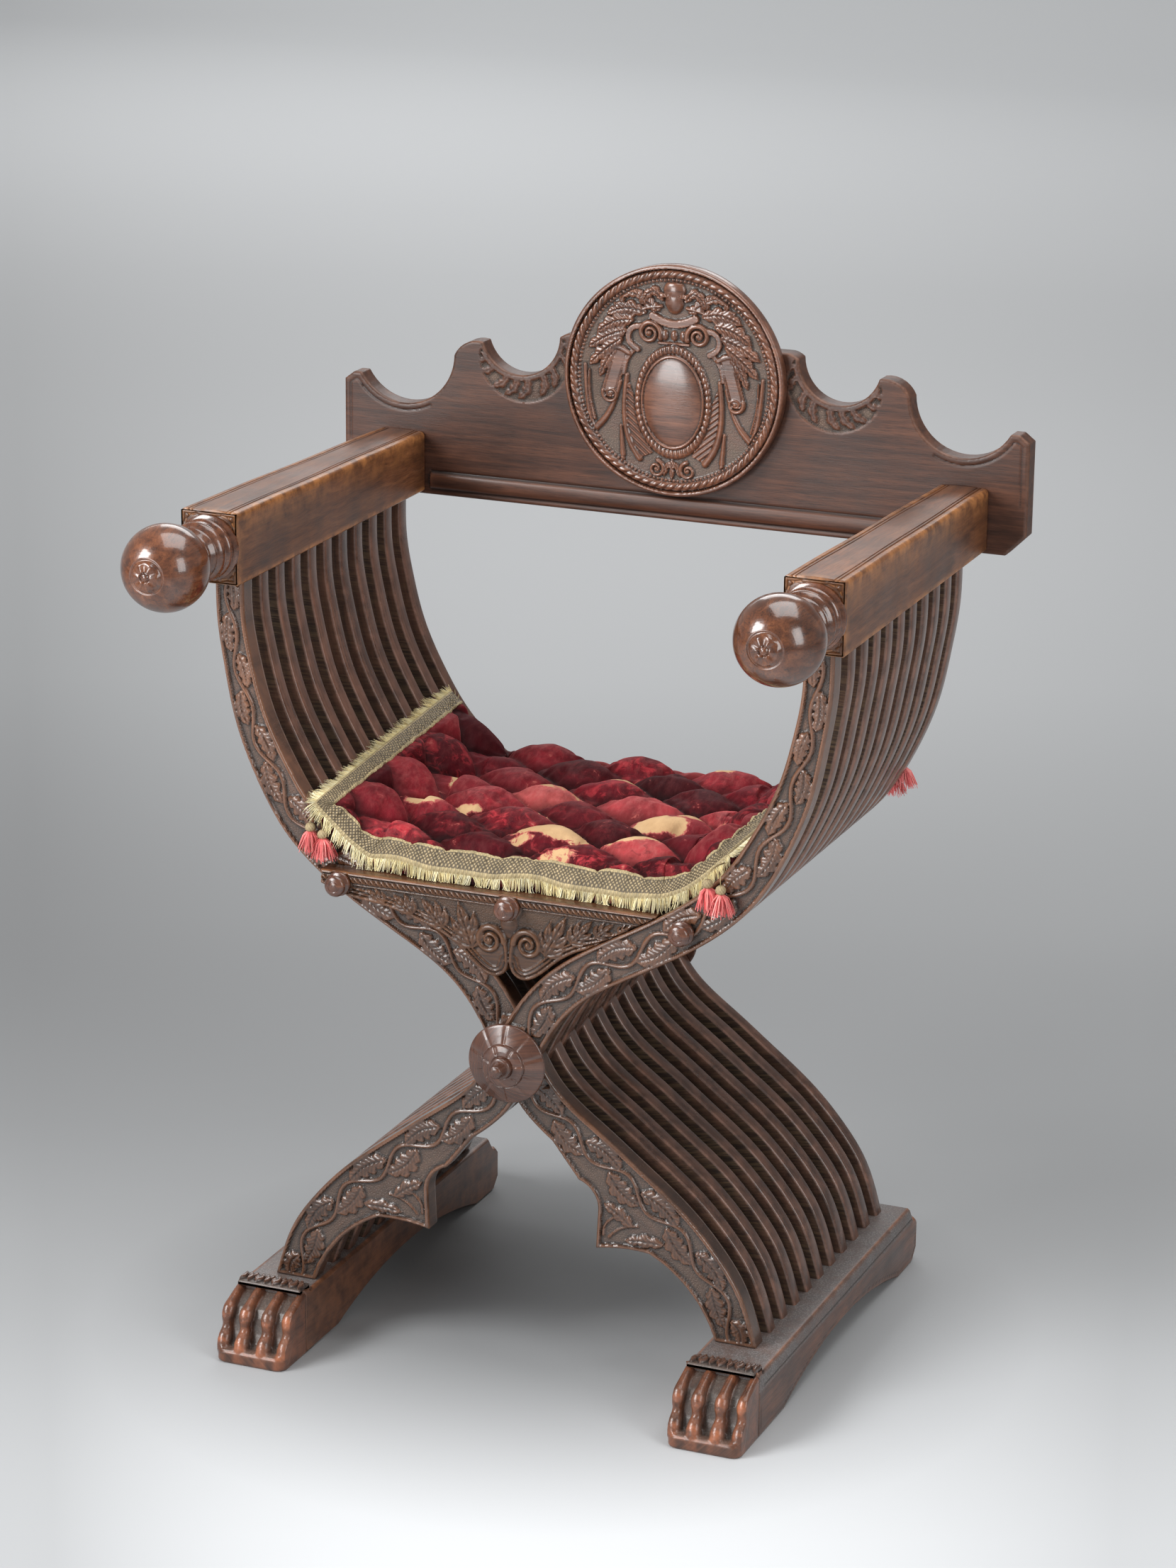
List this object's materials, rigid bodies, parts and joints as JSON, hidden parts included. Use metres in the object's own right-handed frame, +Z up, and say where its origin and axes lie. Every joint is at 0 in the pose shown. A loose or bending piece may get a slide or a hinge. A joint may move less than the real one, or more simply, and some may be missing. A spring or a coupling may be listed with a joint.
{
  "type": "savonarola chair",
  "caption": "Folding carved wooden armchair of interleaved curved staves on one pivot, with hinged slat seat, carved back board and a loose tasselled cushion.",
  "frame": {"origin": "bottom centre of the bounding box, on the floor plane", "axes": "+X to the viewer's right, +Y to the back of the chair, +Z up"},
  "size_m": [0.65, 0.516, 0.908],
  "materials": {
    "walnut_stave": "waxed, worn",
    "walnut_carved": "carved, waxed, dusty in the hollows",
    "walnut_slat": "waxed, worn",
    "walnut_worn": "waxed, rubbed at the edges",
    "walnut_foot": "carved, scuffed",
    "walnut_turned": "turned, waxed",
    "walnut_board": "carved, waxed",
    "velvet": "worn cut velvet",
    "tassel_silk": "silk thread"
  },
  "bodies": {
    "frame_a": {"stave_a_01": "walnut_carved", "stave_a_02": "walnut_stave", "stave_a_03": "walnut_stave", "stave_a_04": "walnut_stave", "stave_a_05": "walnut_stave", "stave_a_06": "walnut_stave", "stave_a_07": "walnut_stave", "stave_a_08": "walnut_stave", "stave_a_09": "walnut_stave", "stave_a_10": "walnut_stave", "stave_a_11": "walnut_stave", "right_arm": "walnut_worn", "right_finial": "walnut_worn", "left_runner": "walnut_foot", "pivot_rod": "walnut_turned", "front_boss": "walnut_carved", "rear_boss": "walnut_carved", "right_seat_rod": "walnut_turned"},
    "frame_b": {"stave_b_01": "walnut_carved", "stave_b_02": "walnut_stave", "stave_b_03": "walnut_stave", "stave_b_04": "walnut_stave", "stave_b_05": "walnut_stave", "stave_b_06": "walnut_stave", "stave_b_07": "walnut_stave", "stave_b_08": "walnut_stave", "stave_b_09": "walnut_stave", "stave_b_10": "walnut_stave", "stave_b_11": "walnut_stave", "left_arm": "walnut_worn", "left_finial": "walnut_worn", "right_runner": "walnut_foot", "left_seat_rod": "walnut_turned"},
    "left_leaf": {"seat_apron": "walnut_carved", "seat_slat_left_02": "walnut_slat", "seat_slat_left_03": "walnut_slat", "seat_slat_left_04": "walnut_slat", "seat_slat_left_05": "walnut_slat", "seat_slat_left_06": "walnut_slat", "seat_slat_left_07": "walnut_slat", "seat_slat_left_08": "walnut_slat", "seat_slat_left_09": "walnut_slat", "seat_slat_left_10": "walnut_slat", "seat_slat_left_11": "walnut_slat", "centre_seat_rod": "walnut_turned"},
    "right_leaf": {"seat_slat_right_01": "walnut_slat", "seat_slat_right_02": "walnut_slat", "seat_slat_right_03": "walnut_slat", "seat_slat_right_04": "walnut_slat", "seat_slat_right_05": "walnut_slat", "seat_slat_right_06": "walnut_slat", "seat_slat_right_07": "walnut_slat", "seat_slat_right_08": "walnut_slat", "seat_slat_right_09": "walnut_slat", "seat_slat_right_10": "walnut_slat", "seat_slat_right_11": "walnut_slat"},
    "back": {"back_board": "walnut_board", "roundel": "walnut_board"},
    "cushion": {"cushion": "velvet", "cushion_tassels": "tassel_silk"}
  },
  "joints": [
    {"name": "fold", "type": "hinge", "parent": "frame_a", "child": "frame_b", "pos_m": [0, 0, 0.288], "axis": [0, 1, 0], "range_deg": [0, 50], "deforming": ["cushion", "cushion_tassels"]},
    {"name": "left_leaf_hinge", "type": "hinge", "parent": "frame_b", "child": "left_leaf", "pos_m": [-0.156, 0, 0.426], "axis": [0, -1, 0], "range_deg": [0, 84]},
    {"name": "right_leaf_hinge", "type": "hinge", "parent": "frame_a", "child": "right_leaf", "pos_m": [0.156, 0, 0.426], "axis": [0, 1, 0], "range_deg": [0, 84]},
    {"name": "board_slide", "type": "slide", "parent": "frame_a", "child": "back", "axis": [0, 1, 0], "range_m": [0, 0.06]},
    {"name": "cushion_lift", "type": "slide", "parent": "frame_a", "child": "cushion", "axis": [0, 0, 1], "range_m": [0, 0.35]}
  ],
  "couplings": [
    {"joint": "left_leaf_hinge", "follows": "fold", "ratio": 1.6566},
    {"joint": "right_leaf_hinge", "follows": "fold", "ratio": 1.6566},
    {"joint": "board_slide", "follows": "fold", "m_per_rad": 0.068}
  ]
}
